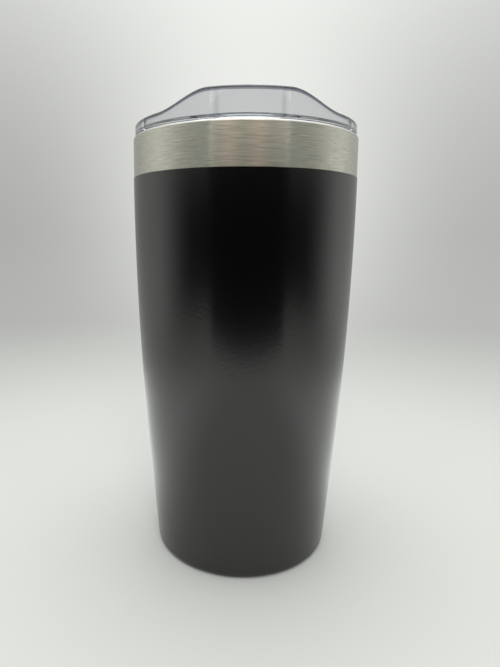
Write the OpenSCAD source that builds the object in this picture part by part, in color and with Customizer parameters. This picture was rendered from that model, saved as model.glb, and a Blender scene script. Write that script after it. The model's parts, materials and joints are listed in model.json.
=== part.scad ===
// Insulated steel tumbler with a clear press-in lid and a sliding closure.
// Millimetres, +Z up. The origin is on the table, under the cup's axis, and the drinking lip faces -Y.

/* [Cup] */
// Height of the cup, from the table to the top of its steel rim
cup_h = 165; // [155:1:175]
// Diameter that the tapered wall would have at the table
base_d = 72; // [70:0.5:74]
// Lean of the lower wall from the vertical, in degrees
taper = 4.4; // [4.2:0.1:4.6]
// Height at which the straight taper starts to curve upright
bend_z = 43; // [40:1:46]
// Radius of the long curve that brings the wall upright
bend_r = 1280; // [1240:10:1340]
// Radius of the bottom corner
corner_r = 2.6; // [2:0.1:3]
// Height of the bare steel band under the rim
band_h = 14.6; // [10:0.2:20]
// Thickness of the steel sheet
steel_t = 0.5; // [0.4:0.05:0.6]
// Thickness of the powder coat
coat_t = 0.15; // [0.1:0.05:0.2]
// Distance through both walls and the vacuum between them
wall_t = 5; // [4.4:0.1:5.6]
// Thickness of the rolled rim
rim_t = 2; // [1.8:0.1:2.4]
// Height of the drinking space's floor above the table
floor_z = 11; // [10.5:0.5:14]

/* [Lid] */
// Height of the lid's low wall above the steel rim
lid_low = 4.4; // [4:0.1:5]
// Height of the raised drinking lip above the steel rim
lid_high = 9.6; // [8.5:0.1:11]
// Half the width of the lip's level top
lip_half = 12.5; // [10:0.5:14]
// Width of each swell, from the level top out to the low wall
swell_w = 18.5; // [16:0.5:22]
// Thickness of the lid's wall
lid_wall = 2.4; // [2:0.1:2.8]
// Depth of the plug below the steel rim
plug_h = 10.5; // [9.5:0.5:12]

/* [Slider] */
// Width of the sliding plate
slider_w = 24.4; // [22:0.2:26]
// Length of the sliding plate
slider_l = 26; // [24:0.5:27]
// How far the slider moves back to open the lid
slider_travel = 15; // [13:0.5:16]
// Width of the drinking hole
sip_w = 14; // [12:0.5:16]
// Length of the drinking hole, front to back
sip_l = 7; // [6:0.5:8]

/* [Hidden] */
$fn = 96;

// Points along an arc about (cx, cz), from angle a0 to angle a1.
function arc(cx, cz, r, a0, a1, steps = 10) =
    [for (i = [0:steps]) let (a = a0 + (a1 - a0) * i / steps) [cx + r * cos(a), cz + r * sin(a)]];
function backwards(points) = [for (i = [len(points) - 1:-1:0]) points[i]];
function shifted(points, dx) = [for (p = points) [p[0] + dx, p[1]]];
// Heights from z0 to z1, evenly spaced.
function heights(z0, z1, steps) = [for (i = [0:steps]) z0 + (z1 - z0) * i / steps];
function smooth(t) = t <= 0 ? 0 : t >= 1 ? 1 : t * t * (3 - 2 * t);

// Outer radius of the steel at height z: a straight taper, then one long curve.
function body_r(z) = base_d / 2 + tan(taper) * z - pow(max(0, z - bend_z), 2) / (2 * bend_r);
wall_steps = 28;

// The bottom corner, tangent to the table and to the tapered wall.
corner_z = corner_r * (1 - sin(taper));
corner_x = body_r(corner_z) - corner_r * cos(taper);
coat_end_a = -60;
// A hair between the coat and the shell, so that their meshes don't cross.
coat_gap = 0.02;

// The foot: a flat ring whose inner edge turns up into a lip that holds the base.
foot_lip_r = 31;
foot_lip_z = 4.5;
foot_bend_r = 1;
foot_bend_x = foot_lip_r + foot_bend_r;

// The rolled rim, a half round in section. The outer shell, the weld and the liner each hold part of it.
rim_half = rim_t / 2;
rim_z = cup_h - rim_half;
rim_or = body_r(rim_z);
rim_x = rim_or - rim_half;
bore_r = rim_or - rim_t;
weld_a = 10;
weld_proud = 0.05;

// The liner: a straight mouth for the lid, a shoulder, then a wall at a constant distance inside the shell.
mouth_z = cup_h - 14;
shoulder_z = mouth_z - 10;
floor_bend_r = 4;
floor_bend_z = floor_z + floor_bend_r;
liner_weld_w = 2;
liner_weld_t = 0.4;
function liner_r(z) = let (w = smooth((z - shoulder_z) / (mouth_z - shoulder_z)))
    bore_r * w + (body_r(z) - wall_t) * (1 - w);
floor_r = liner_r(floor_bend_z) - floor_bend_r;

// The foil that stops radiant heat, wrapped round the liner inside the vacuum.
foil_t = 0.2;
foil_gap = 0.3;
foil_z0 = floor_bend_z + 8;
foil_z1 = shoulder_z - 6;

// The base: a plate that closes the vacuum, and a cover under it.
plate_z = 4.5;
plate_skirt_z = 2.8;
dimple_r = 3;
dimple_h = 1.1;
dimple_edge_r = 6;
dimple_z = plate_z - dimple_h;
evacuation_r = 0.75;
seal_r = 1.6;
seal_h = 0.9;
bead_h = 0.6;
cover_z = 0.9;
cover_skirt_z = 2;
cover_bend = 0.6;
cover_panel_r = 22;
cover_panel_h = 0.6;
cover_step = 1.2;
cover_gap = 0.05;

// The getter pellet and its strap.
getter_x = 16;
getter_r = 4;
getter_h = 2;
strap_w = 3;
strap_t = 0.3;
strap_foot = 2.5;

// The lid's levels and radii.
seat_z = cup_h + 0.2;
lid_r = rim_or - 0.7;
lid_ir = lid_r - lid_wall;
lid_edge = 0.3;
deck_z = cup_h + 1.4;
deck_t = 1.9;
plug_z = cup_h - plug_h;
plug_r = bore_r - 0.7;
plug_ir = plug_r - 2.7;
plug_chamfer = 1.2;
groove_z = plug_z + 3;
groove_h = 3.5;
groove_r = plug_r - 1.5;
gasket_gap = 0.12;
gasket_lip_r = bore_r - 0.3;
gasket_root_r = plug_r - 0.3;
gasket_lip_h = 0.4;
gasket_lip_slope = 0.5;

// A shallow relief inside the drinking lip, and two nibs inside the low wall.
relief_half = 10.3;
relief_depth = 0.4;
nib_r = 0.7;
nib_a = 62;
nib_drop = 0.3;

// The sunken channel that the slider runs in, under two overhanging lips.
slide_gap = 0.2;
channel_w = slider_w + 0.6;
channel_z = cup_h - 1.6;
channel_floor_t = 1.8;
channel_wall = 1.6;
channel_front_r = plug_ir - 0.2;
channel_lip = 1.5;
channel_lip_z = channel_z + 1.8;
sip_inset = 3;
sip_y = sip_inset + sip_l / 2 - channel_front_r;
vent_y = 24;
vent_r = 1.4;

// The slider: a plate under the channel's lips, a block between them and a thumb tab with ribs.
slider_front_r = channel_front_r - 0.4;
slider_back_y = slider_l - slider_front_r;
channel_back_y = slider_back_y + slider_travel + 0.5;
slide_plate_t = 1.4;
slide_z = channel_z + slide_gap;
block_w = channel_w - 2 * channel_lip - 0.8;
block_top_z = deck_z - 0.4;
block_inset = 0.9;
tab_w = 15;
tab_l = 6;
tab_y = -17;
tab_top_z = block_top_z + 2.4;
rib_r = 0.5;
rib_pitch = 1.9;

// The lid's upper edge seen from the front, from the end of the level top out to the low wall.
swell_steps = 18;
lip_edge = [for (i = [0:swell_steps]) let (t = i / swell_steps)
    [lip_half + swell_w * t, cup_h + lid_low + (lid_high - lid_low) * (1 + cos(180 * t)) / 2]];

module revolve(points) { rotate_extrude() polygon(points); }

// The steel tube that is the outside of the cup, from the foot's lip to the weld on the rim.
module outer_shell() {
    lean = [for (z = heights(corner_z, rim_z, wall_steps)) [body_r(z), z]];
    outside = concat(
        arc(foot_bend_x, foot_bend_r, foot_bend_r, 180, 270, 5),
        arc(corner_x, corner_r, corner_r, -90, -taper),
        lean,
        arc(rim_x, rim_z, rim_half, 5, 90 - weld_a, 8));
    inside = concat(
        arc(rim_x, rim_z, rim_half - steel_t, 90 - weld_a, 5, 8),
        backwards(shifted(lean, -steel_t)),
        arc(corner_x, corner_r, corner_r - steel_t, -taper, -90),
        arc(foot_bend_x, foot_bend_r, foot_bend_r - steel_t, 270, 180, 5),
        [[foot_lip_r + steel_t, foot_lip_z], [foot_lip_r, foot_lip_z]]);
    color("silver") revolve(concat(outside, inside));
}

// The powder coat lies on the shell, from the bottom corner up to the bare band.
module powder_coat() {
    lean = [for (z = heights(corner_z, cup_h - band_h, wall_steps)) [body_r(z), z]];
    outside = concat(
        arc(corner_x, corner_r, corner_r + coat_t, coat_end_a, -taper, 6),
        shifted(lean, coat_t));
    inside = concat(
        backwards(shifted(lean, coat_gap)),
        arc(corner_x, corner_r, corner_r + coat_gap, -taper, coat_end_a, 6));
    color("black") revolve(concat(outside, inside));
}

// The inner wall, from the round corner of the floor up to the rim.
module inner_liner() {
    wall = concat(
        [for (z = heights(floor_bend_z + 1, shoulder_z, wall_steps)) [liner_r(z), z]],
        [for (z = heights(shoulder_z + 1, mouth_z, 9)) [liner_r(z), z]]);
    color("silver") revolve(concat(
        arc(floor_r, floor_bend_z, floor_bend_r, 270, 360, 12),
        wall,
        arc(rim_x, rim_z, rim_half, 180, 90 + weld_a, 8),
        arc(rim_x, rim_z, rim_half - steel_t, 90 + weld_a, 180, 8),
        backwards(shifted(wall, steel_t)),
        arc(floor_r, floor_bend_z, floor_bend_r + steel_t, 360, 270, 12)));
}

// The disc that closes the bottom of the liner.
module liner_floor() {
    color("silver") translate([0, 0, floor_z - steel_t]) cylinder(r = floor_r, h = steel_t);
}

// The weld round the seam between the liner and its floor, on the vacuum side.
module liner_weld() {
    half = liner_weld_w / 2;
    z = floor_z - steel_t;
    color("lightgray") revolve([
        [floor_r - half, z], [floor_r - half / 2, z - liner_weld_t],
        [floor_r + half / 2, z - liner_weld_t], [floor_r + half, z]]);
}

module copper_foil() {
    wrap = [for (z = heights(foil_z0, foil_z1, wall_steps)) [liner_r(z) + steel_t + foil_gap, z]];
    color("peru") revolve(concat(backwards(wrap), shifted(wrap, foil_t)));
}

// The weld that joins the two walls along the top of the rim.
module rim_weld() {
    color("lightgray") revolve(concat(
        arc(rim_x, rim_z, rim_half + weld_proud, 90 + weld_a, 90 - weld_a, 8),
        arc(rim_x, rim_z, rim_half - steel_t, 90 - weld_a, 90 + weld_a, 8)));
}

// The plate that closes the vacuum, with a dimple round its evacuation hole.
module base_plate() {
    underside = [[evacuation_r, dimple_z], [dimple_r, dimple_z], [dimple_edge_r, plate_z],
                 [foot_lip_r - steel_t, plate_z]];
    skirt = [[foot_lip_r - steel_t, plate_skirt_z], [foot_lip_r, plate_skirt_z]];
    topside = [[foot_lip_r, plate_z + steel_t], [dimple_edge_r, plate_z + steel_t],
               [dimple_r, dimple_z + steel_t], [evacuation_r, dimple_z + steel_t]];
    color("silver") revolve(concat(underside, skirt, topside));
}

// The weld between the base plate's skirt and the shell's lip.
module base_weld() {
    mid_r = foot_lip_r - steel_t / 2;
    color("lightgray") revolve([
        [mid_r - steel_t / 2, plate_skirt_z], [mid_r, plate_skirt_z - bead_h],
        [foot_lip_r, plate_skirt_z - bead_h], [foot_lip_r, plate_skirt_z]]);
}

// The glass bead that plugs the evacuation hole.
module vacuum_seal() {
    color("darkseagreen") revolve([
        [0, dimple_z - seal_h], [seal_r / 2, dimple_z - seal_h], [seal_r, dimple_z],
        [evacuation_r, dimple_z], [evacuation_r, dimple_z + steel_t], [0, dimple_z + steel_t]]);
}

// The gas-absorbing pellet inside the vacuum, on the base plate.
module getter() {
    color("dimgray") translate([getter_x, 0, plate_z + steel_t]) cylinder(r = getter_r, h = getter_h);
}

// The strap over the pellet, with a foot on each side.
module getter_bracket() {
    reach = getter_r + strap_t;
    color("silver") translate([getter_x, -strap_w / 2, plate_z + steel_t]) {
        translate([-reach, 0, getter_h]) cube([2 * reach, strap_w, strap_t]);
        for (side = [0, 1]) mirror([side, 0, 0]) translate([getter_r, 0, 0]) {
            cube([strap_t, strap_w, getter_h]);
            cube([strap_foot, strap_w, strap_t]);
        }
    }
}

// The pressed disc that covers the base, with a raised middle panel.
module base_cover() {
    edge_r = foot_lip_r - cover_gap;
    panel_z = cover_z + cover_panel_h;
    underside = [[0, panel_z], [cover_panel_r, panel_z], [cover_panel_r + cover_step, cover_z],
                 [edge_r - cover_bend, cover_z], [edge_r, cover_z + cover_bend]];
    skirt = [[edge_r, cover_skirt_z], [edge_r - steel_t, cover_skirt_z]];
    topside = [[edge_r - cover_bend, cover_z + steel_t], [cover_panel_r + cover_step, cover_z + steel_t],
               [cover_panel_r, panel_z + steel_t], [0, panel_z + steel_t]];
    color("silver") revolve(concat(underside, skirt, topside));
}

// Everything over the lid's swelling edge, which is cut away from its wall.
module above_lip_edge() {
    reach = lid_r + 1;
    top = cup_h + lid_high + 1;
    right = concat(lip_edge, [[reach, cup_h + lid_low]]);
    left = backwards([for (p = right) [-p[0], p[1]]]);
    rotate([90, 0, 0]) linear_extrude(reach) polygon(concat(left, right, [[reach, top], [-reach, top]]));
    translate([-reach, -1, cup_h + lid_low]) cube([2 * reach, reach + 1, lid_high]);
}

// The lid's wall, deck and plug, all round its axis.
module lid_rounds() {
    plug = [[0, deck_z - deck_t], [plug_ir, deck_z - deck_t], [plug_ir, plug_z],
            [plug_r - plug_chamfer / 2, plug_z], [plug_r, plug_z + plug_chamfer]];
    groove = [[plug_r, groove_z], [groove_r, groove_z], [groove_r, groove_z + groove_h],
              [plug_r, groove_z + groove_h]];
    flange = [[plug_r, seat_z], [lid_r - lid_edge, seat_z], [lid_r, seat_z + lid_edge]];
    wall = [[lid_r, cup_h + lid_high], [lid_ir, cup_h + lid_high], [lid_ir, deck_z], [0, deck_z]];
    revolve(concat(plug, groove, flange, wall));
}

// A block across the lid between two heights, back to y_back and cut round to radius r at the front.
module across(width, r, y_back, z0, z1) {
    intersection() {
        translate([-width / 2, -r - 1, z0]) cube([width, r + 1 + y_back, z1 - z0]);
        translate([0, 0, z0 - 1]) cylinder(r = r, h = z1 - z0 + 2);
    }
}

module drinking_hole() {
    side = (sip_w - sip_l) / 2;
    depth = channel_floor_t + 2;
    translate([0, sip_y, channel_z - channel_floor_t - 1]) {
        for (x = [-side, side]) translate([x, 0, 0]) cylinder(d = sip_l, h = depth);
        translate([-side, -sip_l / 2, 0]) cube([2 * side, sip_l, depth]);
    }
}

module lip_relief() {
    across(2 * relief_half, lid_ir + relief_depth, 0, deck_z, cup_h + lid_high + 1);
}

module wall_nibs() {
    for (side = [-1, 1]) rotate([0, 0, side * nib_a]) translate([0, -lid_ir, deck_z - 1])
        cylinder(r = nib_r, h = cup_h + lid_low - nib_drop - deck_z + 1);
}

module lid_body() {
    color("aliceblue") {
        difference() {
            union() {
                lid_rounds();
                across(channel_w + 2 * channel_wall, plug_ir + 0.5, channel_back_y + channel_wall,
                    channel_z - channel_floor_t, deck_z - deck_t / 2);
            }
            above_lip_edge();
            lip_relief();
            across(channel_w, channel_front_r, channel_back_y, channel_z, channel_lip_z);
            across(channel_w - 2 * channel_lip, channel_front_r, channel_back_y, channel_z, deck_z + 1);
            drinking_hole();
            translate([0, vent_y, deck_z - deck_t - 1]) cylinder(r = vent_r, h = deck_t + 2);
        }
        wall_nibs();
    }
}

// The silicone ring in the plug's groove, with two lips that wipe the mouth.
module lid_gasket() {
    z0 = groove_z + gasket_gap;
    z1 = groove_z + groove_h - gasket_gap;
    mid = (z0 + z1) / 2;
    low_lip = [[gasket_root_r, z0], [gasket_lip_r, z0 + gasket_lip_slope],
               [gasket_lip_r, z0 + gasket_lip_slope + gasket_lip_h]];
    high_lip = [[gasket_lip_r, z1 - gasket_lip_slope - gasket_lip_h], [gasket_lip_r, z1 - gasket_lip_slope],
                [gasket_root_r, z1]];
    color("white") revolve(concat(
        [[groove_r + gasket_gap, z0]], low_lip, [[gasket_root_r, mid]], high_lip,
        [[groove_r + gasket_gap, z1]]));
}

module slider() {
    tab_base_z = slide_z + slide_plate_t;
    color("lightsteelblue") {
        across(slider_w, slider_front_r, slider_back_y, slide_z, tab_base_z);
        across(block_w, slider_front_r - block_inset, slider_back_y - block_inset, slide_z, block_top_z);
        translate([-tab_w / 2, tab_y - tab_l / 2, tab_base_z]) cube([tab_w, tab_l, tab_top_z - tab_base_z]);
        for (i = [-1:1]) translate([-tab_w / 2, tab_y + i * rib_pitch, tab_top_z])
            rotate([0, 90, 0]) cylinder(r = rib_r, h = tab_w);
    }
}

outer_shell();
powder_coat();
inner_liner();
liner_floor();
liner_weld();
copper_foil();
rim_weld();
base_plate();
base_weld();
vacuum_seal();
getter();
getter_bracket();
base_cover();
lid_body();
lid_gasket();
slider();
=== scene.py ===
"""Looks for the insulated steel tumbler: its visible pieces, materials, studio and camera.

Metres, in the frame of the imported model: +Z up, the drinking lip towards -Y, the cup standing on z = 0.
"""

import json
import math

import bmesh
import bpy
import numpy as np
from mathutils import Matrix, Vector


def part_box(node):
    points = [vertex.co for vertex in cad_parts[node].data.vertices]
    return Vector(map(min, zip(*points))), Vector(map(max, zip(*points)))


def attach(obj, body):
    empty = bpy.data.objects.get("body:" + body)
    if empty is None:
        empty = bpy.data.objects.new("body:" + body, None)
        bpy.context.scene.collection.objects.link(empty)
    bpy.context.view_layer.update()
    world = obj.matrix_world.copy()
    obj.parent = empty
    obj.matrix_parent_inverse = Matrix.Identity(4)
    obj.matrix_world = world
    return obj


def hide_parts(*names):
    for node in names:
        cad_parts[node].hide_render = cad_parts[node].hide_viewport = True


MM = 0.001
# Points closer than this are the same point.
SAME = 0.01 * MM
# Rounding error in a coordinate, in metres, and the decimals that it leaves.
EXACT = 1e-7
DIGITS = 7

# Camera: a phone's wide lens, a little above the cup's middle and turned slightly down.
SENSOR = 36  # along the frame's long side
FOCAL_LENGTH = 26.99
CAMERA_AT = (-0.0186, -0.2053, 0.1289)
CAMERA_YAW = 0.047
CAMERA_PITCH = 0.1918
CAMERA_ROLL = 0.0045
# The frame is cut from the right-hand part of a wider one.
CAMERA_SHIFT_X = 0.0431
FRAME_YAW = CAMERA_YAW + CAMERA_SHIFT_X * SENSOR / FOCAL_LENGTH
# Camera and studio turn together about the cup, until the lip, which stays on -Y, faces as in the photo.
STUDIO_YAW = 0.052
STUDIO_TURN = Matrix.Rotation(STUDIO_YAW, 4, "Z")

# The points on a quarter turn, on a half turn and on a tongue's round front.
QUARTER_STEPS = 9
HALF_STEPS = 17
FRONT_STEPS = 25

# A rounded corner: its least turn, the share of a short side that it may take, and its segments.
LEAST_TURN = math.radians(12)
SIDE_SHARE = 0.45
FILLET_SEGMENTS = 5
# Softened edges have fewer.
EDGE_SEGMENTS = 3
# Edges that turn by more degrees than this stay sharp, on the round pieces and on the clear ones.
SHARP_ROUND = 30
SHARP_CLEAR = 25
# Edges that turn by more degrees than this are bevelled, where no other angle is given.
BEVEL_TURN = 30

# The lid's details, which the frame's boxes don't give.
LID_STEPS = 720
LID_EDGE = 0.55 * MM
LIP_ROUND = 1.1 * MM
LIP_SUPPORT = 0.15 * MM
# The attribute that marks the round top of the lid's wall, where the clear material gets a painted shade.
LIP_MASK = "lip_edge"
RELIEF_HALF = 10.3 * MM
RELIEF_DEPTH = 0.4 * MM
RELIEF_RAMP = 1.6 * MM
NIB_R = 0.7 * MM
NIB_ANGLE = math.radians(62)
LIP_HALF = 12.5 * MM
SWELL_W = 18.5 * MM
CHANNEL_SIDE_GAP = 0.3 * MM
CHANNEL_FRONT_GAP = 0.4 * MM
CHANNEL_BACK_GAP = 0.5 * MM
CHANNEL_LIP = 1.5 * MM
CHANNEL_H = 1.8 * MM
CHANNEL_CORNER = 0.6 * MM
SLIDE_GAP = 0.2 * MM
TRAY_WALL = 1.6 * MM
TRAY_FLOOR = 1.8 * MM
# How far the tray's front reaches into the plug's wall.
TRAY_LAP = 0.5 * MM
SIP_W = 14 * MM
SIP_L = 7 * MM
SIP_INSET = 3 * MM
VENT_R = 1.4 * MM
VENT_Y = 24 * MM
# How far a cutting shape stands out past what it cuts.
CUT_PAST = 1 * MM

# The slider.
SLIDE_PLATE_T = 1.4 * MM
SLIDE_CORNER = 0.8 * MM
PLATE_EDGE = 0.25 * MM
BLOCK_GAP = 0.4 * MM
BLOCK_INSET = 0.9 * MM
BLOCK_EDGE = 0.3 * MM
TAB_W = 15 * MM
TAB_L = 6 * MM
TAB_H = 2.9 * MM
TAB_Y = -17 * MM
# The tab starts this far above the plate, inside the block.
TAB_START = 0.3 * MM
TAB_EDGE = 0.3 * MM
# The steps of the ribs' round tops turn by fewer degrees than this, and aren't bevelled.
TAB_EDGE_TURN = 60
RIB_R = 0.5 * MM
RIB_PITCH = 1.9 * MM
RIB_STEPS = 9

# The round pieces, and how far their edges are softened.
ROUND_STEPS = 288
WALL_EDGE = 0.05 * MM
COAT_EDGE = 0.06 * MM
RIM_EDGE = 0.02 * MM
GASKET_EDGE = 0.15 * MM
RIM_ROUND = 1.0 * MM

# The brushed and the polished steel, and the clear plastic.
BRUSHED_ROUGH = 0.27
BRUSHED_STRETCH = 0.95
POLISHED_ROUGH = 0.14
CLEAR_BOUNCES = 32
CLEAR_INSIDE = (0.3, 0.38, 0.5)
CLEAR_DENSITY = 3
LID_TINT = (0.68, 0.695, 0.715)
LID_ROUGH = 0.03
# Painted shade for the round top of the lid's wall: it stands in for the dark that light bent inside the
# clear wall shows there.
LIP_PAINTED_SHADE = (0.13, 0.14, 0.18)
SLIDER_TINT = (0.84, 0.87, 0.9)
SLIDER_ROUGH = 0.04

# The studio's glow: all round, then each lobe's power and strength.
WORLD_BASE = 0.4
WORLD_BACK = (28, 0.42)
WORLD_RISE = (14, 0.26)
WORLD_SIDE = (4, 0.5)
WORLD_TOP = (2, 1.2)
WORLD_FLOOR = (1, 0.3)
WORLD_TINT = (0.985, 1.0, 0.965, 1)
# How far the lobes behind the cup climb.
BACK_CLIMB = 0.05
RISE_CLIMB = 0.6
# How much of the glow the tent's open front takes away, and where that ends sideways and upwards: each
# is two cosines of the angle from the front or from straight up.
OPENING_DARK = 0.97
OPENING_SIDES = (-0.25, 0.6)
OPENING_TOP = (0.04, 0.32)

# The table, and where it fades out, measured from a point in front of the cup.
FLOOR_R = 1.1
FLOOR_STEPS = 96
FLOOR_LAP = 5 * MM
FLOOR_COLOUR = (0.51, 0.519, 0.502, 1)
FLOOR_FADE_Y = -0.12
FLOOR_FADE = (0.17, 0.75)

# The tent's opening, in front of the cup: a dark gap, and over it a hood between narrow bright edges.
OPENING_Y = -0.30
OPENING_X = (-0.221, 0.206)
OPENING_Z = 0.25
HOOD_Z = 0.45
HOOD_GREY = (1.35, 1.32, 1.22)
HOOD_WARM = (2.0, 1.66, 1.5)
HOOD_WARM_AT = (-0.106, 0.036)
HOOD_WARM_HALF = 0.075
OPENING_EDGE = 0.006
EDGE_GLOW = (4, 4, 3.8)
BLACK = (0, 0, 0)

# The lit table at the cup's sides, as its coat reflects it: it fades in, and out again, with the radius.
SHINE_IN = (0.035, 0.09)
SHINE_OUT = (0.17, 0.32)
SHINE_Z = 0.5 * MM
SHINE_GLOW = (1.25, 1.28, 1.23)
# In front of the cup it stays dull, round this point.
DULL_AT = (0, -0.12, 0)
DULL_R = (0.075, 0.18)

# Two soft lights, each by its place, its size and its power in watts.
OVERHEAD_LIGHT = ((0, 0.12, 0.75), 0.5, 1.6)
FRONT_LIGHT = ((0, -0.45, 0.4), 0.3, 1.4)


# ---------------------------------------------------------------- mesh helpers


def mesh_object(name, verts, faces):
    """A new object in the scene, from its points and faces."""
    mesh = bpy.data.meshes.new(name)
    mesh.from_pydata([tuple(v) for v in verts], [], faces)
    mesh.validate()
    obj = bpy.data.objects.new(name, mesh)
    bpy.context.scene.collection.objects.link(obj)
    return obj


def recalculate_normals(obj):
    """Merges points that coincide, and makes the closed mesh face outwards, as its volume's sign shows."""
    bm = bmesh.new()
    bm.from_mesh(obj.data)
    bmesh.ops.remove_doubles(bm, verts=bm.verts, dist=EXACT)
    bmesh.ops.recalc_face_normals(bm, faces=bm.faces)
    if bm.calc_volume(signed=True) < 0:
        bmesh.ops.reverse_faces(bm, faces=bm.faces)
    bm.to_mesh(obj.data)
    bm.free()


def apply_modifiers(obj):
    """Makes what the modifiers do part of the mesh."""
    graph = bpy.context.evaluated_depsgraph_get()
    made = bpy.data.meshes.new_from_object(obj.evaluated_get(graph))
    obj.modifiers.clear()
    old = obj.data
    obj.data = made
    bpy.data.meshes.remove(old)


def smooth_by_angle(obj, degrees):
    """Smooth shading that keeps sharp edges, and keeps flat walls flat beside small rounded edges."""
    obj.data.shade_smooth()
    obj.data.set_sharp_from_angle(angle=math.radians(degrees))
    change = obj.modifiers.new("weighted", "WEIGHTED_NORMAL")
    change.keep_sharp = True
    apply_modifiers(obj)


def bevel(obj, width, degrees=BEVEL_TURN):
    """Rounds the edges that turn more than an angle."""
    change = obj.modifiers.new("bevel", "BEVEL")
    change.width = width
    change.segments = EDGE_SEGMENTS
    change.limit_method = "ANGLE"
    change.angle_limit = math.radians(degrees)
    apply_modifiers(obj)


def combine(target, other, operation):
    """Joins other to target, or cuts it away, and removes other."""
    change = target.modifiers.new("combine", "BOOLEAN")
    change.operation = operation
    change.solver = "MANIFOLD"
    change.object = other
    apply_modifiers(target)
    bpy.data.objects.remove(other)


def filleted(points, radius, segments=FILLET_SEGMENTS):
    """A closed outline with each corner rounded, by less where its sides are short."""
    out = []
    count = len(points)
    for i, corner in enumerate(points):
        here = Vector(corner)
        back = Vector(points[i - 1]) - here
        ahead = Vector(points[(i + 1) % count]) - here
        turn = math.pi - back.angle(ahead)
        # On the axis the section goes on to the other side, so there is no corner.
        if turn < LEAST_TURN or corner[0] == 0:
            out.append(here)
            continue
        reach = min(radius * math.tan(turn / 2), SIDE_SHARE * back.length, SIDE_SHARE * ahead.length)
        start = here + back.normalized() * reach
        end = here + ahead.normalized() * reach
        for k in range(segments + 1):
            t = k / segments
            out.append((1 - t) ** 2 * start + 2 * t * (1 - t) * here + t**2 * end)
    return out


def prism(name, outline, z0, z1):
    """An (x, y) outline pushed up from z0 to z1."""
    count = len(outline)
    verts = [(x, y, z) for z in (z0, z1) for x, y in outline]
    faces = [tuple(range(count - 1, -1, -1)), tuple(range(count, 2 * count))]
    for i in range(count):
        j = (i + 1) % count
        faces.append((i, j, count + j, count + i))
    obj = mesh_object(name, verts, faces)
    recalculate_normals(obj)
    return obj


def revolved(name, outline, steps, shape=None):
    """Turns a closed (radius, height) outline about Z. shape(angle, r, z) may move each point."""
    verts = []
    for s in range(steps):
        angle = 2 * math.pi * s / steps
        for r, z in outline:
            if shape:
                r_here, z_here = shape(angle, r, z)
            else:
                r_here, z_here = r, z
            verts.append((r_here * math.sin(angle), -r_here * math.cos(angle), z_here))
    count = len(outline)
    faces = []
    for s in range(steps):
        a, b = s * count, (s + 1) % steps * count
        for i in range(count):
            j = (i + 1) % count
            faces.append((a + i, a + j, b + j, b + i))
    obj = mesh_object(name, verts, faces)
    recalculate_normals(obj)
    return obj


# ---------------------------------------------------------------- shader helpers


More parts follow.
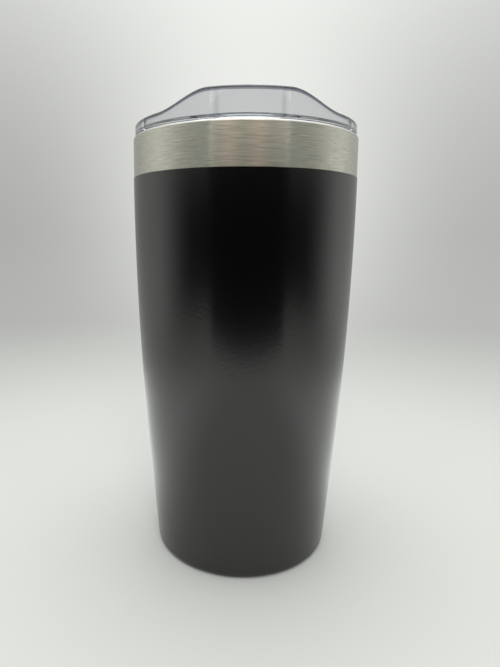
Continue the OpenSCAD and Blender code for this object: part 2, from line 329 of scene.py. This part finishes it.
class Shader:
    """A material with one Principled shader, and short calls for the nodes that feed it."""

    def __init__(self, name):
        self.material = bpy.data.materials.new(name)
        self.material.use_nodes = True
        self.tree = self.material.node_tree
        self.principled = self.tree.nodes["Principled BSDF"]
        self.place = self.tree.nodes.new("ShaderNodeTexCoord").outputs["Object"]

    def set(self, **values):
        """Sets the shader's own sockets, such as Coat_Weight=1."""
        for name, value in values.items():
            self.principled.inputs[name.replace("_", " ")].default_value = value

    def link(self, output, name):
        self.tree.links.new(output, self.principled.inputs[name])

    def stretched(self, scale):
        """The object's coordinates, scaled along each axis by its own amount."""
        mapping = self.tree.nodes.new("ShaderNodeMapping")
        mapping.inputs["Scale"].default_value = scale
        self.tree.links.new(self.place, mapping.inputs["Vector"])
        return mapping.outputs["Vector"]

    def noise(self, scale, detail=3.0, roughness=0.5, vector=None):
        node = self.tree.nodes.new("ShaderNodeTexNoise")
        node.inputs["Scale"].default_value = scale
        node.inputs["Detail"].default_value = detail
        node.inputs["Roughness"].default_value = roughness
        self.tree.links.new(vector or self.place, node.inputs["Vector"])
        return node.outputs["Fac"]

    def ramp(self, value, stops):
        node = self.tree.nodes.new("ShaderNodeValToRGB")
        ramp = node.color_ramp
        while len(ramp.elements) < len(stops):
            ramp.elements.new(0.5)
        for element, (at, colour) in zip(ramp.elements, stops):
            element.position = at
            element.color = (*colour, 1)
        self.tree.links.new(value, node.inputs["Fac"])
        return node.outputs["Color"]

    def spread(self, value, low, high):
        """value, from 0.3 to 0.7, mapped to low to high."""
        node = self.tree.nodes.new("ShaderNodeMapRange")
        node.inputs["From Min"].default_value = 0.3
        node.inputs["From Max"].default_value = 0.7
        node.inputs["To Min"].default_value = low
        node.inputs["To Max"].default_value = high
        self.tree.links.new(value, node.inputs["Value"])
        return node.outputs["Result"]

    def above(self, low, high):
        """0 below the height low, 1 above high."""
        parts = self.tree.nodes.new("ShaderNodeSeparateXYZ")
        self.tree.links.new(self.place, parts.inputs["Vector"])
        node = self.tree.nodes.new("ShaderNodeMapRange")
        node.inputs["From Min"].default_value = low
        node.inputs["From Max"].default_value = high
        self.tree.links.new(parts.outputs["Z"], node.inputs["Value"])
        return node.outputs["Result"]

    def mixed(self, share, a, b):
        """a where share is 0, b where it is 1. Each is a number or a colour, and a may be an output."""
        node = self.tree.nodes.new("ShaderNodeMix")
        is_number = isinstance(b, float)
        node.data_type = "FLOAT" if is_number else "RGBA"
        kind = "VALUE" if is_number else "RGBA"
        self.tree.links.new(share, node.inputs["Factor"])
        for socket, value in zip([k for k in node.inputs if k.type == kind and k.name in "AB"], (a, b)):
            if isinstance(value, bpy.types.NodeSocket):
                self.tree.links.new(value, socket)
            else:
                socket.default_value = value
        return next(k for k in node.outputs if k.type == kind)

    def near(self, centre, full, gone, along=(1, 1, 1)):
        """1 within full of a point, 0 beyond gone. Only the axes in along count."""
        counted = self.tree.nodes.new("ShaderNodeVectorMath")
        counted.operation = "MULTIPLY"
        counted.inputs[1].default_value = along
        self.tree.links.new(self.place, counted.inputs[0])
        away = self.tree.nodes.new("ShaderNodeVectorMath")
        away.operation = "DISTANCE"
        away.inputs[1].default_value = centre
        self.tree.links.new(counted.outputs["Vector"], away.inputs[0])
        node = self.tree.nodes.new("ShaderNodeMapRange")
        node.interpolation_type = "SMOOTHSTEP"
        node.inputs["From Min"].default_value = full
        node.inputs["From Max"].default_value = gone
        node.inputs["To Min"].default_value = 1.0
        node.inputs["To Max"].default_value = 0.0
        self.tree.links.new(away.outputs["Value"], node.inputs["Value"])
        return node.outputs["Result"]

    def inverse(self, value):
        node = self.tree.nodes.new("ShaderNodeMath")
        node.operation = "SUBTRACT"
        node.inputs[0].default_value = 1.0
        self.tree.links.new(value, node.inputs[1])
        return node.outputs[0]

    def times(self, a, b):
        node = self.tree.nodes.new("ShaderNodeMath")
        node.operation = "MULTIPLY"
        self.tree.links.new(a, node.inputs[0])
        self.tree.links.new(b, node.inputs[1])
        return node.outputs[0]

    def bump(self, height, distance, strength=1.0, under=None):
        node = self.tree.nodes.new("ShaderNodeBump")
        node.inputs["Strength"].default_value = strength
        node.inputs["Distance"].default_value = distance
        self.tree.links.new(height, node.inputs["Height"])
        if under:
            self.tree.links.new(under, node.inputs["Normal"])
        self.tree.links.new(node.outputs["Normal"], self.principled.inputs["Normal"])
        return node.outputs["Normal"]


def powder_coat():
    """Black satin powder coat: orange peel, a fine grain, and a few pale specks."""
    s = Shader("powder_coat_black")
    s.set(IOR=1.65)
    peel = s.noise(900, 2)
    grain = s.noise(5200, 2)
    specks = s.noise(2600, 0)
    black = (0.0008, 0.0008, 0.0009)
    pale = (0.02, 0.02, 0.02)
    s.link(s.ramp(specks, [(0.0, black), (0.8, black), (0.84, pale)]), "Base Color")
    s.link(s.spread(grain, 0.18, 0.23), "Roughness")
    soft = s.bump(peel, 0.00006, 0.35)
    s.bump(grain, 0.000012, 0.5, under=soft)
    return s.material


def brushed_steel():
    """Stainless steel with short brush lines that run round the axis, and a polished rolled rim."""
    s = Shader("brushed_steel")
    s.set(Metallic=1.0, Anisotropic=BRUSHED_STRETCH, Anisotropic_Rotation=0.25)
    lines = s.noise(1.0, 3, 0.65, s.stretched((200, 200, 6500)))
    rim_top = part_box("outer_shell")[1].z
    rim = s.above(rim_top - RIM_ROUND, rim_top - RIM_ROUND / 2)
    brushed = s.ramp(lines, [(0.3, (0.39, 0.387, 0.335)), (0.7, (0.63, 0.622, 0.535))])
    s.link(s.mixed(rim, brushed, (0.8, 0.8, 0.77, 1)), "Base Color")
    s.link(s.mixed(rim, BRUSHED_ROUGH, POLISHED_ROUGH), "Roughness")
    tangent = s.tree.nodes.new("ShaderNodeTangent")
    tangent.direction_type = "RADIAL"
    tangent.axis = "Z"
    s.link(tangent.outputs["Tangent"], "Tangent")
    s.bump(lines, 0.000003, 0.4)
    return s.material


def satin_steel():
    s = Shader("satin_steel")
    s.set(Metallic=1.0, Roughness=0.34)
    cloud = s.noise(120, 4)
    fine = s.noise(4000, 2)
    s.link(s.ramp(cloud, [(0.3, (0.5, 0.49, 0.46)), (0.7, (0.6, 0.59, 0.56))]), "Base Color")
    s.link(s.spread(cloud, 0.28, 0.4), "Roughness")
    s.bump(fine, 0.00001, 0.3)
    return s.material


def polished_steel():
    s = Shader("polished_steel")
    s.set(Metallic=1.0, Roughness=POLISHED_ROUGH)
    lines = s.noise(1.0, 3, 0.5, s.stretched((200, 200, 3000)))
    s.link(s.ramp(lines, [(0.3, (0.68, 0.67, 0.64)), (0.7, (0.78, 0.77, 0.74))]), "Base Color")
    s.link(s.spread(lines, 0.1, 0.2), "Roughness")
    return s.material


def copper_foil():
    s = Shader("copper_foil")
    s.set(Metallic=1.0, Roughness=0.25)
    creases = s.noise(260, 5, 0.7)
    s.link(s.ramp(creases, [(0.3, (0.72, 0.36, 0.22)), (0.7, (0.9, 0.5, 0.33))]), "Base Color")
    s.link(s.spread(creases, 0.18, 0.35), "Roughness")
    s.bump(creases, 0.0002, 0.5)
    return s.material


def sintered_metal():
    s = Shader("sintered_metal")
    s.set(Metallic=0.8, Roughness=0.75)
    pores = s.noise(3000, 4, 0.7)
    s.link(s.ramp(pores, [(0.35, (0.05, 0.05, 0.055)), (0.65, (0.16, 0.16, 0.17))]), "Base Color")
    s.bump(pores, 0.00008, 0.8)
    return s.material


def seal_glass():
    s = Shader("seal_glass")
    s.set(Roughness=0.15, IOR=1.52)
    swirl = s.noise(900, 3)
    s.link(s.ramp(swirl, [(0.3, (0.1, 0.13, 0.1)), (0.7, (0.2, 0.25, 0.2))]), "Base Color")
    return s.material


def clear_plastic(name, tint, rough):
    """Clear moulded plastic with faint flow marks, and a painted shade in the round top of the lid's wall.
    """
    s = Shader(name)
    s.set(Roughness=rough, IOR=1.49, Transmission_Weight=1.0)
    lip = s.tree.nodes.new("ShaderNodeAttribute")
    lip.attribute_name = LIP_MASK
    # The round top of the wall gets a painted shade in its base colour.
    s.link(s.mixed(lip.outputs["Fac"], (*tint, 1), (*LIP_PAINTED_SHADE, 1)), "Base Color")
    inside = s.tree.nodes.new("ShaderNodeVolumeAbsorption")
    inside.inputs["Color"].default_value = (*CLEAR_INSIDE, 1)
    inside.inputs["Density"].default_value = CLEAR_DENSITY
    s.tree.links.new(inside.outputs["Volume"], s.tree.nodes["Material Output"].inputs["Volume"])
    flow = s.noise(45, 2)
    scuffs = s.noise(1800, 3, 0.6)
    s.link(s.spread(scuffs, rough * 0.5, rough * 1.6), "Roughness")
    s.bump(flow, 0.0003, 0.15)
    return s.material


def silicone():
    s = Shader("silicone_white")
    s.set(Roughness=0.5, IOR=1.41, Subsurface_Weight=0.4, Subsurface_Scale=0.003)
    cloud = s.noise(300, 3)
    s.link(s.ramp(cloud, [(0.3, (0.68, 0.69, 0.69)), (0.7, (0.78, 0.79, 0.79))]), "Base Color")
    s.bump(s.noise(3500, 2), 0.00002, 0.4)
    return s.material


# ---------------------------------------------------------------- reading the frame


def seam_outline(node):
    """The (radius, height) points of a round CAD node's section on +X, in order round it."""
    mesh = frame["nodes"][node].data
    next_to = {}
    for edge in mesh.edges:
        ends = [mesh.vertices[i].co for i in edge.vertices]
        if all(abs(p.y) < EXACT and p.x > -EXACT for p in ends):
            a, b = [(round(p.x, DIGITS), round(p.z, DIGITS)) for p in ends]
            if a != b:
                next_to.setdefault(a, set()).add(b)
                next_to.setdefault(b, set()).add(a)
    left = set(next_to)
    outline = [min((k for k in left if len(next_to[k]) == 1), default=min(left))]
    left.remove(outline[0])
    while left:
        here = outline[-1]
        ahead = [k for k in next_to[here] if k in left]
        if not ahead:
            # A level ring has no seam edge of its own, so the outline hops across it.
            level = [k for k in left if abs(k[1] - here[1]) < SAME]
            ahead = sorted(level, key=lambda k: abs(k[0] - here[0]))[:1]
        if not ahead:
            break
        outline.append(ahead[0])
        left.remove(ahead[0])
    return outline


# ---------------------------------------------------------------- the lid


def tongue(half_width, front_r, back_y, corner):
    """An outline with a round front about the cup's axis and a straight back with round corners."""
    reach = math.asin(half_width / front_r)
    front = [
        (front_r * math.sin(a), -front_r * math.cos(a)) for a in np.linspace(-reach, reach, FRONT_STEPS)
    ]
    return filleted(front + [(half_width, back_y), (-half_width, back_y)], corner)


def stadium(width, length, y):
    """An outline with straight sides and half-round ends, centred on x = 0."""
    r = length / 2
    side = width / 2 - r
    turns = np.linspace(-math.pi / 2, math.pi / 2, HALF_STEPS)
    right = [(side + r * math.cos(a), y + r * math.sin(a)) for a in turns]
    return right + [(-x, 2 * y - yy) for x, yy in right]


def inner_wall(wall_top):
    """The radius inside the lid's low wall and the deck's height, read behind the lip."""
    behind = [v.co for v in frame["nodes"]["lid_body"].data.vertices if v.co.y > 0]
    wall_in = min(math.hypot(p.x, p.y) for p in behind if abs(p.z - wall_top) < SAME)
    deck_top = min(p.z for p in behind if abs(math.hypot(p.x, p.y) - wall_in) < SAME)
    return wall_in, deck_top


def lip_foot(wall_top):
    """The height at which the round top of the low wall starts."""
    return wall_top - LIP_ROUND


def lid_section(ring, wall_in, deck_top):
    """The (radius, height) outline of the lid, with a round top on its wall."""
    deck_under = ring[0][1]
    lid_r, wall_top = ring[-1]
    round_z = lip_foot(wall_top)
    corner = [
        (LIP_ROUND * (1 - math.cos(a)), round_z + LIP_ROUND * math.sin(a))
        for a in np.linspace(0, math.pi / 2, QUARTER_STEPS)
    ]
    outside = [(lid_r - inset, z) for inset, z in corner]
    inside = [(wall_in + inset, z) for inset, z in corner[::-1]]
    # A second ring just under the round top keeps the walls flat and the lip's painted shade out of them.
    under = round_z - LIP_SUPPORT
    wall = [(lid_r, under)] + outside + inside + [(wall_in, under)]
    return filleted([(0, deck_under)] + ring[:-1] + wall + [(wall_in, deck_top), (0, deck_top)], LID_EDGE)


def lip_rise(x, y, height):
    """How far the lip stands above the low wall: a swell of this height in front, level behind."""
    t = min(max((abs(x) - LIP_HALF) / SWELL_W, 0), 1)
    return height * (1 + math.cos(math.pi * t)) / 2 if y < 0 else 0


def lid_shape(ring, wall_in, deck_top, lip_height):
    """What moves the points of the turned lid: it raises the lip, and adds the relief and the nibs."""
    lid_r, wall_top = ring[-1]
    wall_mid = (wall_in + lid_r) / 2

    def shape(angle, r, z):
        x, y = r * math.sin(angle), -r * math.cos(angle)
        if z > lip_foot(wall_top) - LIP_SUPPORT - SAME:
            z += lip_rise(x, y, lip_height)
        if deck_top - LID_EDGE < z and wall_in - LID_EDGE < r < wall_mid:
            if y < 0:
                r += RELIEF_DEPTH * min(max((RELIEF_HALF - abs(x)) / RELIEF_RAMP + 0.5, 0), 1)
            off = r * (min(abs(angle - a) for a in (NIB_ANGLE, 2 * math.pi - NIB_ANGLE)))
            if off < NIB_R and z < wall_top - LID_EDGE:
                r -= math.sqrt(NIB_R**2 - off**2)
        return r, z

    return shape


def cut_channel(lid, plug_in, deck_under, deck_top):
    """Hangs a tray under the deck, and cuts the slider's channel and the drinking hole in it."""
    slide_lo, slide_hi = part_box("slider")
    travel = next(j for j in frame["joints"] if j["name"] == "slider_slide")["range_m"][1]
    half = slide_hi.x + CHANNEL_SIDE_GAP
    front_r = -slide_lo.y + CHANNEL_FRONT_GAP
    back = slide_hi.y + travel + CHANNEL_BACK_GAP
    floor_z = slide_lo.z - SLIDE_GAP
    tray = prism("tray", tongue(half + TRAY_WALL, plug_in + TRAY_LAP, back + TRAY_WALL, TRAY_WALL),
                 floor_z - TRAY_FLOOR, (deck_under + deck_top) / 2)
    combine(lid, tray, "UNION")
    wide = prism("wide", tongue(half, front_r, back, CHANNEL_CORNER), floor_z, floor_z + CHANNEL_H)
    combine(lid, wide, "DIFFERENCE")
    mouth = prism("mouth", tongue(half - CHANNEL_LIP, front_r, back, CHANNEL_CORNER),
                  floor_z, deck_top + CUT_PAST)
    combine(lid, mouth, "DIFFERENCE")
    sip = prism("sip", stadium(SIP_W, SIP_L, SIP_INSET + SIP_L / 2 - front_r),
                floor_z - TRAY_FLOOR - CUT_PAST, floor_z + CUT_PAST)
    combine(lid, sip, "DIFFERENCE")


def cut_vent(lid, deck_under, deck_top):
    """The small air hole behind the slider."""
    vent = prism("vent", stadium(2 * VENT_R, 2 * VENT_R, VENT_Y), deck_under - CUT_PAST, deck_top + CUT_PAST)
    combine(lid, vent, "DIFFERENCE")


def mark_lip(lid, wall_top, lip_height):
    """Marks the points of the wall's round top, which the clear material darkens with a painted shade."""
    lip = lid.data.attributes.new(LIP_MASK, "FLOAT", "POINT")
    for vertex, mask in zip(lid.data.vertices, lip.data):
        p = vertex.co
        mask.value = float(p.z > lip_foot(wall_top) + lip_rise(p.x, p.y, lip_height) - SAME)


def lid_piece():
    """The moulded lid as one closed mesh: wall, lip, deck, plug, slider channel and holes."""
    ring = seam_outline("lid_body")
    # It starts where the deck's underside meets the inside of the plug.
    plug_in, deck_under = ring[0]
    wall_top = ring[-1][1]
    wall_in, deck_top = inner_wall(wall_top)
    lip_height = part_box("lid_body")[1].z - wall_top
    shape = lid_shape(ring, wall_in, deck_top, lip_height)
    lid = revolved("lid_clear", lid_section(ring, wall_in, deck_top), LID_STEPS, shape)
    cut_channel(lid, plug_in, deck_under, deck_top)
    cut_vent(lid, deck_under, deck_top)
    smooth_by_angle(lid, SHARP_CLEAR)
    mark_lip(lid, wall_top, lip_height)
    return lid


def slider_piece():
    """The sliding plate, the block between the channel's lips, and the ribbed thumb tab."""
    lo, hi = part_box("slider")
    front_r = -lo.y
    plate_top = lo.z + SLIDE_PLATE_T
    block_top = hi.z - TAB_H
    half_block = hi.x + CHANNEL_SIDE_GAP - CHANNEL_LIP - BLOCK_GAP
    slider = prism("slider_clear", tongue(hi.x, front_r, hi.y, SLIDE_CORNER), lo.z, plate_top)
    bevel(slider, PLATE_EDGE)
    block = prism("block", tongue(half_block, front_r - BLOCK_INSET, hi.y - BLOCK_INSET, SLIDE_CORNER),
                  lo.z + SLIDE_PLATE_T / 2, block_top)
    bevel(block, BLOCK_EDGE)
    combine(slider, block, "UNION")
    combine(slider, thumb_tab(plate_top + TAB_START, hi.z - RIB_R), "UNION")
    smooth_by_angle(slider, SHARP_CLEAR)
    return slider


def thumb_tab(base, top):
    """A bar across the slider with leaning sides and three ribs along its top."""
    half = TAB_L / 2
    outline = [(TAB_Y - half, base)]
    for i in (-1, 0, 1):
        outline += [
            (TAB_Y + i * RIB_PITCH - RIB_R * math.cos(a), top + RIB_R * math.sin(a))
            for a in np.linspace(0, math.pi, RIB_STEPS)
        ]
    outline.append((TAB_Y + half, base))
    tab = prism("tab", outline, -TAB_W / 2, TAB_W / 2)
    # The outline was drawn as (y, z) and pushed out along z: turn it to run along x.
    tab.data.transform(Matrix(((0, 0, 1, 0), (1, 0, 0, 0), (0, 1, 0, 0), (0, 0, 0, 1))))
    recalculate_normals(tab)
    bevel(tab, TAB_EDGE, TAB_EDGE_TURN)
    return tab


def round_piece(name, node, edge):
    """A finer mesh of a round CAD node, with its edges softened."""
    obj = revolved(name, filleted(seam_outline(node), edge, EDGE_SEGMENTS), ROUND_STEPS)
    smooth_by_angle(obj, SHARP_ROUND)
    return obj


# ---------------------------------------------------------------- studio


def world_light():
    """A light tent's glow: brighter behind, overhead and at the sides, and dim towards its open front."""
    world = bpy.data.worlds.new("tent")
    bpy.context.scene.world = world
    world.use_nodes = True
    tree = world.node_tree
    direction = tree.nodes.new("ShaderNodeTexCoord").outputs["Generated"]

    def math_node(operation, a, b):
        node = tree.nodes.new("ShaderNodeMath")
        node.operation = operation
        for socket, value in zip(node.inputs, (a, b)):
            if isinstance(value, (int, float)):
                socket.default_value = value
            else:
                tree.links.new(value, socket)
        return node.outputs[0]

    def toward(axis):
        dot = tree.nodes.new("ShaderNodeVectorMath")
        dot.operation = "DOT_PRODUCT"
        tree.links.new(direction, dot.inputs[0])
        dot.inputs[1].default_value = STUDIO_TURN @ Vector(axis).normalized()
        return dot.outputs["Value"]

    def lobe(axis, power, strength):
        facing = math_node("MAXIMUM", toward(axis), 0.0)
        return math_node("MULTIPLY", math_node("POWER", facing, power), strength)

    def eased(value, zero_at, one_at):
        node = tree.nodes.new("ShaderNodeMapRange")
        node.interpolation_type = "SMOOTHSTEP"
        node.inputs["From Min"].default_value = zero_at
        node.inputs["From Max"].default_value = one_at
        tree.links.new(value, node.inputs["Value"])
        return node.outputs["Result"]

    glow = math_node("ADD", WORLD_BASE, lobe((FRAME_YAW, 1, BACK_CLIMB), *WORLD_BACK))
    glow = math_node("ADD", glow, lobe((FRAME_YAW, 1, RISE_CLIMB), *WORLD_RISE))
    for axis in ((1, 0, 0), (-1, 0, 0)):
        glow = math_node("ADD", glow, lobe(axis, *WORLD_SIDE))
    glow = math_node("ADD", glow, lobe((0, 0, 1), *WORLD_TOP))
    glow = math_node("ADD", glow, lobe((0, 0, -1), *WORLD_FLOOR))
    low = math_node("SUBTRACT", 1.0, eased(toward((0, 0, 1)), *OPENING_TOP))
    opening = math_node("MULTIPLY", eased(toward((0, -1, 0)), *OPENING_SIDES), low)
    # Seen directly, or through the lid, the front glows like the rest: the opening is dark only in
    # reflections and in the light that falls on things.
    path = tree.nodes.new("ShaderNodeLightPath").outputs
    seen = math_node("MAXIMUM", path["Is Camera Ray"], path["Is Transmission Ray"])
    opening = math_node("MULTIPLY", opening, math_node("SUBTRACT", 1.0, seen))
    kept = math_node("SUBTRACT", 1.0, math_node("MULTIPLY", opening, OPENING_DARK))
    background = tree.nodes["Background"]
    background.inputs["Color"].default_value = WORLD_TINT
    tree.links.new(math_node("MULTIPLY", glow, kept), background.inputs["Strength"])


def level_ring(name, inner, outer, z):
    """A thin level ring round the cup's axis."""
    turns = np.linspace(0, 2 * math.pi, FLOOR_STEPS, False)
    verts = [(r * math.cos(a), r * math.sin(a), z) for r in (inner, outer) for a in turns]
    faces = []
    for i in range(FLOOR_STEPS):
        j = (i + 1) % FLOOR_STEPS
        faces.append((i, FLOOR_STEPS + i, FLOOR_STEPS + j, j))
    return mesh_object(name, verts, faces)


def floor():
    """A pale table that fades into the tent's glow, and isn't there from below.

    It is open under the cup, so that the base gets light.
    """
    obj = level_ring("floor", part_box("base_cover")[1].x - FLOOR_LAP, FLOOR_R, 0)
    s = Shader("floor_pale")
    s.set(Roughness=0.7, Base_Color=FLOOR_COLOUR)
    from_below = s.tree.nodes.new("ShaderNodeNewGeometry").outputs["Backfacing"]
    s.link(s.times(s.near((0, FLOOR_FADE_Y, 0), *FLOOR_FADE), s.inverse(from_below)), "Alpha")
    obj.data.materials.append(s.material)
    obj.matrix_world = STUDIO_TURN


def glowing(name):
    """A shader that only glows."""
    s = Shader(name)
    s.set(Base_Color=(*BLACK, 1), Roughness=1.0, Specular_IOR_Level=0.0, Emission_Strength=1.0)
    return s


def reflected_only(obj, material):
    """Sets up a piece of the studio that only reflections see."""
    obj.data.materials.append(material)
    obj.matrix_world = STUDIO_TURN
    obj.visible_camera = False
    obj.visible_transmission = False
    obj.visible_diffuse = False
    obj.visible_shadow = False


def card(name, x0, x1, z0, z1, glow):
    """An upright card in front of the cup. Returns its shader."""
    corners = [(x0, OPENING_Y, z0), (x1, OPENING_Y, z0), (x1, OPENING_Y, z1), (x0, OPENING_Y, z1)]
    obj = mesh_object(name, corners, [(0, 1, 2, 3)])
    s = glowing(name)
    s.set(Emission_Color=(*glow, 1))
    reflected_only(obj, s.material)
    return s


def hood(x0, x1):
    """The card over the tent's opening, with two soft warm bands."""
    s = card("hood", x0, x1, OPENING_Z, HOOD_Z, HOOD_GREY)
    colour = (*HOOD_GREY, 1)
    for x in HOOD_WARM_AT:
        band = s.near((x, 0, 0), 0, HOOD_WARM_HALF, along=(1, 0, 0))
        colour = s.mixed(band, colour, (*HOOD_WARM, 1))
    s.link(colour, "Emission Color")


def table_shine():
    """The lit table at the cup's sides, for reflections only: the coat mirrors it at a grazing angle."""
    obj = level_ring("table_shine", SHINE_IN[0], SHINE_OUT[1], SHINE_Z)
    s = glowing("table_shine")
    s.set(Emission_Color=(*SHINE_GLOW, 1))
    axis = (0, 0, 0)
    ring = s.times(s.inverse(s.near(axis, *SHINE_IN)), s.near(axis, *SHINE_OUT))
    s.link(s.times(ring, s.inverse(s.near(DULL_AT, *DULL_R))), "Alpha")
    reflected_only(obj, s.material)


def soft_light(name, place, size, watts):
    """A round light, aimed at the middle of the table."""
    light = bpy.data.lights.new(name, "AREA")
    light.shape = "DISK"
    light.size = size
    light.energy = watts
    obj = bpy.data.objects.new(name, light)
    aim = Vector(place).to_track_quat("Z", "Y").to_matrix().to_4x4()
    obj.matrix_world = STUDIO_TURN @ Matrix.Translation(place) @ aim
    obj.visible_camera = False
    bpy.context.scene.collection.objects.link(obj)
    return obj


def camera():
    cam = bpy.data.cameras.new("camera")
    cam.sensor_width = SENSOR
    cam.lens = FOCAL_LENGTH
    cam.shift_x = CAMERA_SHIFT_X
    cam.clip_start = 0.01
    obj = bpy.data.objects.new("camera", cam)
    bpy.context.scene.collection.objects.link(obj)
    ahead = Vector((math.sin(CAMERA_YAW) * math.cos(CAMERA_PITCH),
                    math.cos(CAMERA_YAW) * math.cos(CAMERA_PITCH),
                    -math.sin(CAMERA_PITCH)))
    level = Vector((math.cos(CAMERA_YAW), -math.sin(CAMERA_YAW), 0))
    upright = level.cross(ahead)
    right = math.cos(CAMERA_ROLL) * level + math.sin(CAMERA_ROLL) * upright
    up = -math.sin(CAMERA_ROLL) * level + math.cos(CAMERA_ROLL) * upright
    turn = Matrix((right, up, -ahead)).transposed().to_4x4()
    obj.matrix_world = STUDIO_TURN @ Matrix.Translation(CAMERA_AT) @ turn
    bpy.context.scene.camera = obj


# ---------------------------------------------------------------- the scene


def paint(node, material):
    """Gives a CAD node its material."""
    obj = frame["nodes"][node]
    for holder in obj.material_slots:
        holder.material = material


def stand_in(piece, body, node, material):
    """Puts a finer piece in a CAD node's place."""
    # A boolean leaves an empty material slot behind.
    piece.data.materials.clear()
    piece.data.materials.append(material)
    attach(piece, body)
    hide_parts(node)


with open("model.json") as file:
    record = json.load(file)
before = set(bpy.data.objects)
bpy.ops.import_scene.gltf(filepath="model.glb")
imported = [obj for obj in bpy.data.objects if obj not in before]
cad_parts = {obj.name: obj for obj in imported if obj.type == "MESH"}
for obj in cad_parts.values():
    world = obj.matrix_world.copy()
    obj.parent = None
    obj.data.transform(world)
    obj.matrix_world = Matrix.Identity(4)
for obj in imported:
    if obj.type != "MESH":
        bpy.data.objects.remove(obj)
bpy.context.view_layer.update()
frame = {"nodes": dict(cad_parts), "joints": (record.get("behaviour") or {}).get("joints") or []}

brushed = brushed_steel()
satin = satin_steel()
polished = polished_steel()

stand_in(round_piece("shell_outer", "outer_shell", WALL_EDGE), "cup", "outer_shell", brushed)
stand_in(round_piece("coat_black", "powder_coat", COAT_EDGE), "cup", "powder_coat",
         powder_coat())
stand_in(round_piece("liner_wall", "inner_liner", WALL_EDGE), "cup", "inner_liner", satin)
stand_in(round_piece("rim_bead", "rim_weld", RIM_EDGE), "cup", "rim_weld", polished)
stand_in(lid_piece(), "lid", "lid_body",
         clear_plastic("clear_lid", LID_TINT, LID_ROUGH))
stand_in(slider_piece(), "closure", "slider",
         clear_plastic("clear_slider", SLIDER_TINT, SLIDER_ROUGH))
stand_in(round_piece("gasket_ring", "lid_gasket", GASKET_EDGE), "lid_seal", "lid_gasket",
         silicone())
for node in ("liner_floor", "base_plate", "getter_bracket", "base_cover"):
    paint(node, satin)
for node in ("liner_weld", "base_weld"):
    paint(node, polished)
paint("copper_foil", copper_foil())
paint("getter", sintered_metal())
paint("vacuum_seal", seal_glass())

world_light()
floor()
left, right = OPENING_X
card("opening", left, right, 0, OPENING_Z, BLACK)
hood(left, right)
card("opening_edge_left", left - OPENING_EDGE, left, OPENING_Z, HOOD_Z, EDGE_GLOW)
card("opening_edge_right", right, right + OPENING_EDGE, OPENING_Z, HOOD_Z, EDGE_GLOW)
table_shine()
soft_light("overhead", *OVERHEAD_LIGHT)
# The light in front reaches the table, but the cup doesn't mirror it.
front = soft_light("front", *FRONT_LIGHT)
front.visible_glossy = False
front.visible_transmission = False
camera()
bpy.context.scene.view_settings.view_transform = "Standard"
# Light runs a long way inside the clear lid before it gets out.
bpy.context.scene.cycles.max_bounces = CLEAR_BOUNCES
bpy.context.scene.cycles.transmission_bounces = CLEAR_BOUNCES
bpy.context.scene.cycles.glossy_bounces = CLEAR_BOUNCES
